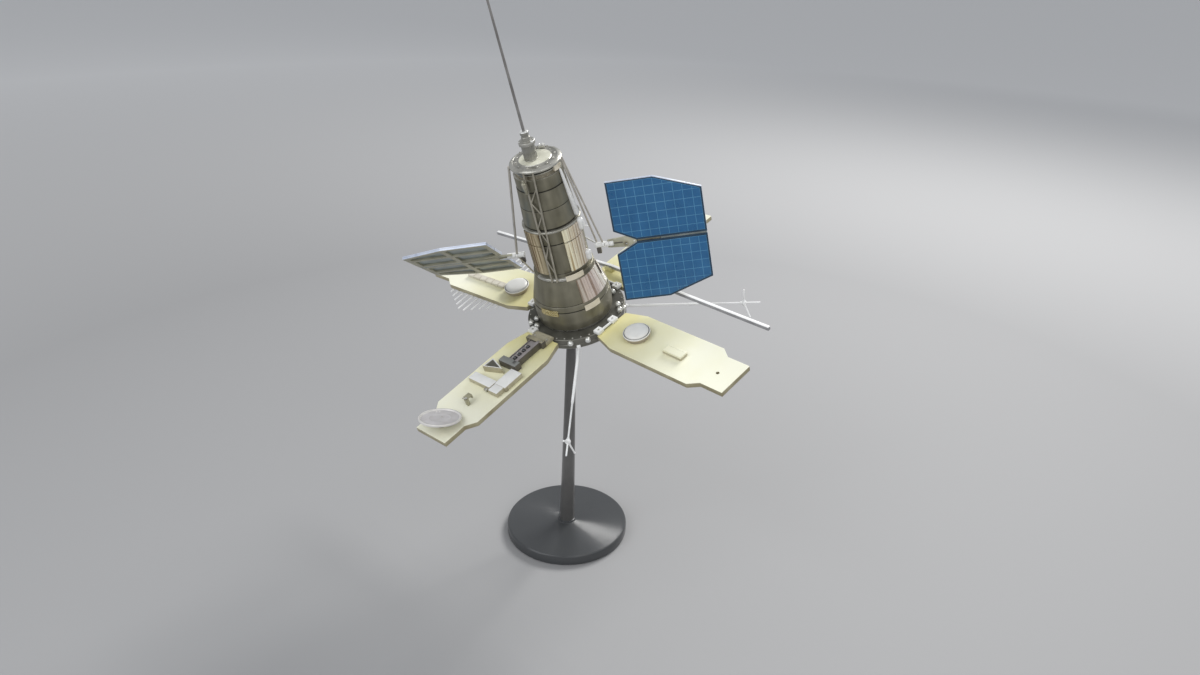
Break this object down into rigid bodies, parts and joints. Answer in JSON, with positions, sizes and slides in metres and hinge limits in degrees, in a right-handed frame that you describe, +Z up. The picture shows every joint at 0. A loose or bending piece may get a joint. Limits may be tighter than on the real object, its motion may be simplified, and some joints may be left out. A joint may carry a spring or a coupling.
{
  "type": "desk model of an observation satellite",
  "caption": "Desk display model of an earth-observation satellite with turning solar panels, flat petals and rod antennas, leaning on a tapered pole over a round stand.",
  "frame": {"origin": "centre of the round stand's flat underside", "axes": "+Z up out of the stand, +X towards the right-hand solar panel, -Y towards the side that the picture shows"},
  "size_m": [0.4112, 0.4011, 0.7456],
  "materials": {
    "gloss_black": "glossy turned black lacquer",
    "pole_grey": "glossy dark grey tapered tube",
    "dark_metal": "satin dark paint",
    "silver": "bright small balls",
    "olive_metal": "satin olive grey metallic paint",
    "cap_metal": "satin silver with a cream top",
    "pale_rod": "satin pale grey paint",
    "olive_rod": "satin khaki grey paint",
    "boom_grey": "satin grey rod",
    "louvre_gold": "gold and copper stripes",
    "louvre_rose": "pale rose and copper stripes",
    "beige_plate": "beige paint",
    "foil_gold": "crumpled gold foil",
    "white_shell": "glossy white paint",
    "white_block": "white paint",
    "white_rod": "white paint",
    "panel_frame": "khaki grey paint",
    "solar_cells": "blue cells with a pale grid",
    "petal_cream": "pale cream paint with khaki edges",
    "puck_white": "off-white paint over a beige foot",
    "grey_box": "grey box with dark lenses",
    "dish_grey": "pale grey paint"
  },
  "bodies": {
    "root": {"arm_joint_left": "pale_rod", "arm_joint_right": "pale_rod", "arm_rod_right": "white_rod", "bar_antenna": "white_rod", "bar_clamp": "beige_plate", "base_disc": "gloss_black", "belt_ring": "pale_rod", "boom": "boom_grey", "boom_foot": "pale_rod", "brace_left": "dark_metal", "brace_right": "pale_rod", "camera_box": "grey_box", "cap_instruments": "cap_metal", "comb_antenna": "white_rod", "cream_box": "petal_cream", "edge_plates": "beige_plate", "foil_patch": "foil_gold", "front_horn": "beige_plate", "hinge_plate": "beige_plate", "hook_bracket": "beige_plate", "hub_bottles": "silver", "hub_ring": "dark_metal", "ladder_box": "beige_plate", "lower_body": "olive_metal", "mast_front": "white_rod", "mast_right": "white_rod", "middle_body": "olive_metal", "middle_louvre_left": "louvre_gold", "middle_louvre_right": "louvre_gold", "petal_back_left": "petal_cream", "petal_back_right": "petal_cream", "petal_front_left": "petal_cream", "petal_front_right": "petal_cream", "pole": "pole_grey", "puck_back_left": "puck_white", "puck_front_right": "puck_white", "root_blocks": "white_block", "round_dish": "dish_grey", "side_channel": "white_shell", "side_pods": "white_shell", "skirt_louvre": "louvre_rose", "stepped_box": "white_block", "struts_left": "olive_rod", "struts_right": "olive_rod", "top_cap": "cap_metal", "triangle_box": "white_block", "truss_back": "olive_rod", "truss_front": "olive_rod", "upper_body": "olive_metal"},
    "right_panel": {"panel_bracket_right": "beige_plate", "panel_cells_right": "solar_cells", "panel_frame_right": "panel_frame"},
    "left_panel": {"panel_bracket_left": "beige_plate", "panel_cells_left": "solar_cells", "panel_frame_left": "panel_frame"}
  },
  "joints": [
    {"name": "right_panel_turn", "type": "hinge", "parent": "root", "child": "right_panel", "pos_m": [0.04741, -0.02571, 0.41767], "axis": [0.9749, -0.1103, 0.1936], "continuous": true},
    {"name": "left_panel_turn", "type": "hinge", "parent": "root", "child": "left_panel", "pos_m": [-0.0647, -0.01303, 0.39541], "axis": [-0.9749, 0.1103, -0.1936], "continuous": true}
  ]
}
